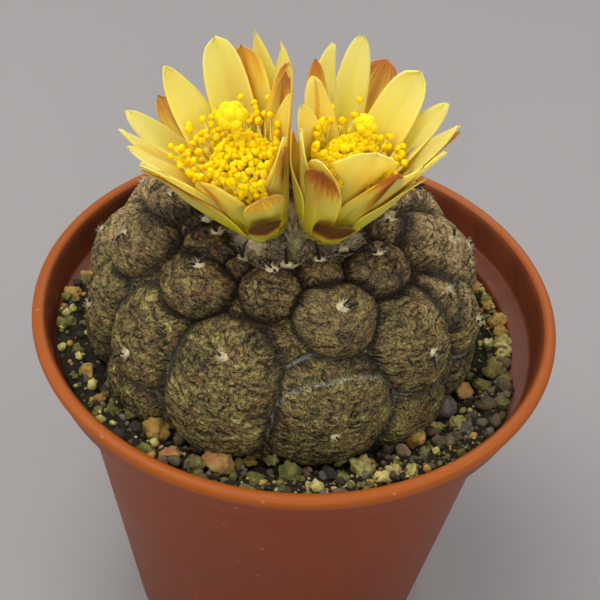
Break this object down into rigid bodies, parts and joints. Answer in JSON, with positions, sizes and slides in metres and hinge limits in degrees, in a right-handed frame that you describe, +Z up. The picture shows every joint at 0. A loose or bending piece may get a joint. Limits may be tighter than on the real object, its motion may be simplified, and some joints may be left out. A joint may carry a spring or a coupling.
{
  "type": "potted cactus",
  "caption": "Potted Copiapoa hypogaea: a low, brown-olive cactus of rounded tubercles in a terracotta-coloured plastic pot of gritty soil, with yellow blooms at its woolly crown.",
  "frame": {"origin": "middle of the pot's underside, on the surface that it stands on", "axes": "+Z up, -Y towards the side that the picture shows, +X to the right as seen from that side"},
  "size_m": [0.09, 0.09, 0.1207],
  "materials": {
    "terracotta_plastic": "satin",
    "soil_mix": "rough, moist, with ochre, cream and greenish grit",
    "cactus_skin": "finely wrinkled, matt",
    "tepal_outer": "silky, translucent, red-brown down the middle and at the tip",
    "tepal_inner": "silky, translucent",
    "stamen_yellow": "matt",
    "stigma_yellow": "matt"
  },
  "bodies": {
    "root": {"pot": "terracotta_plastic", "soil": "soil_mix", "plant_body": "cactus_skin", "bloom_left_outer_tepals": "tepal_outer", "bloom_left_inner_tepals": "tepal_inner", "bloom_left_stamens": "stamen_yellow", "bloom_left_style": "stigma_yellow", "bloom_right_outer_tepals": "tepal_outer", "bloom_right_inner_tepals": "tepal_inner", "bloom_right_stamens": "stamen_yellow", "bloom_right_style": "stigma_yellow"}
  },
  "joints": []
}
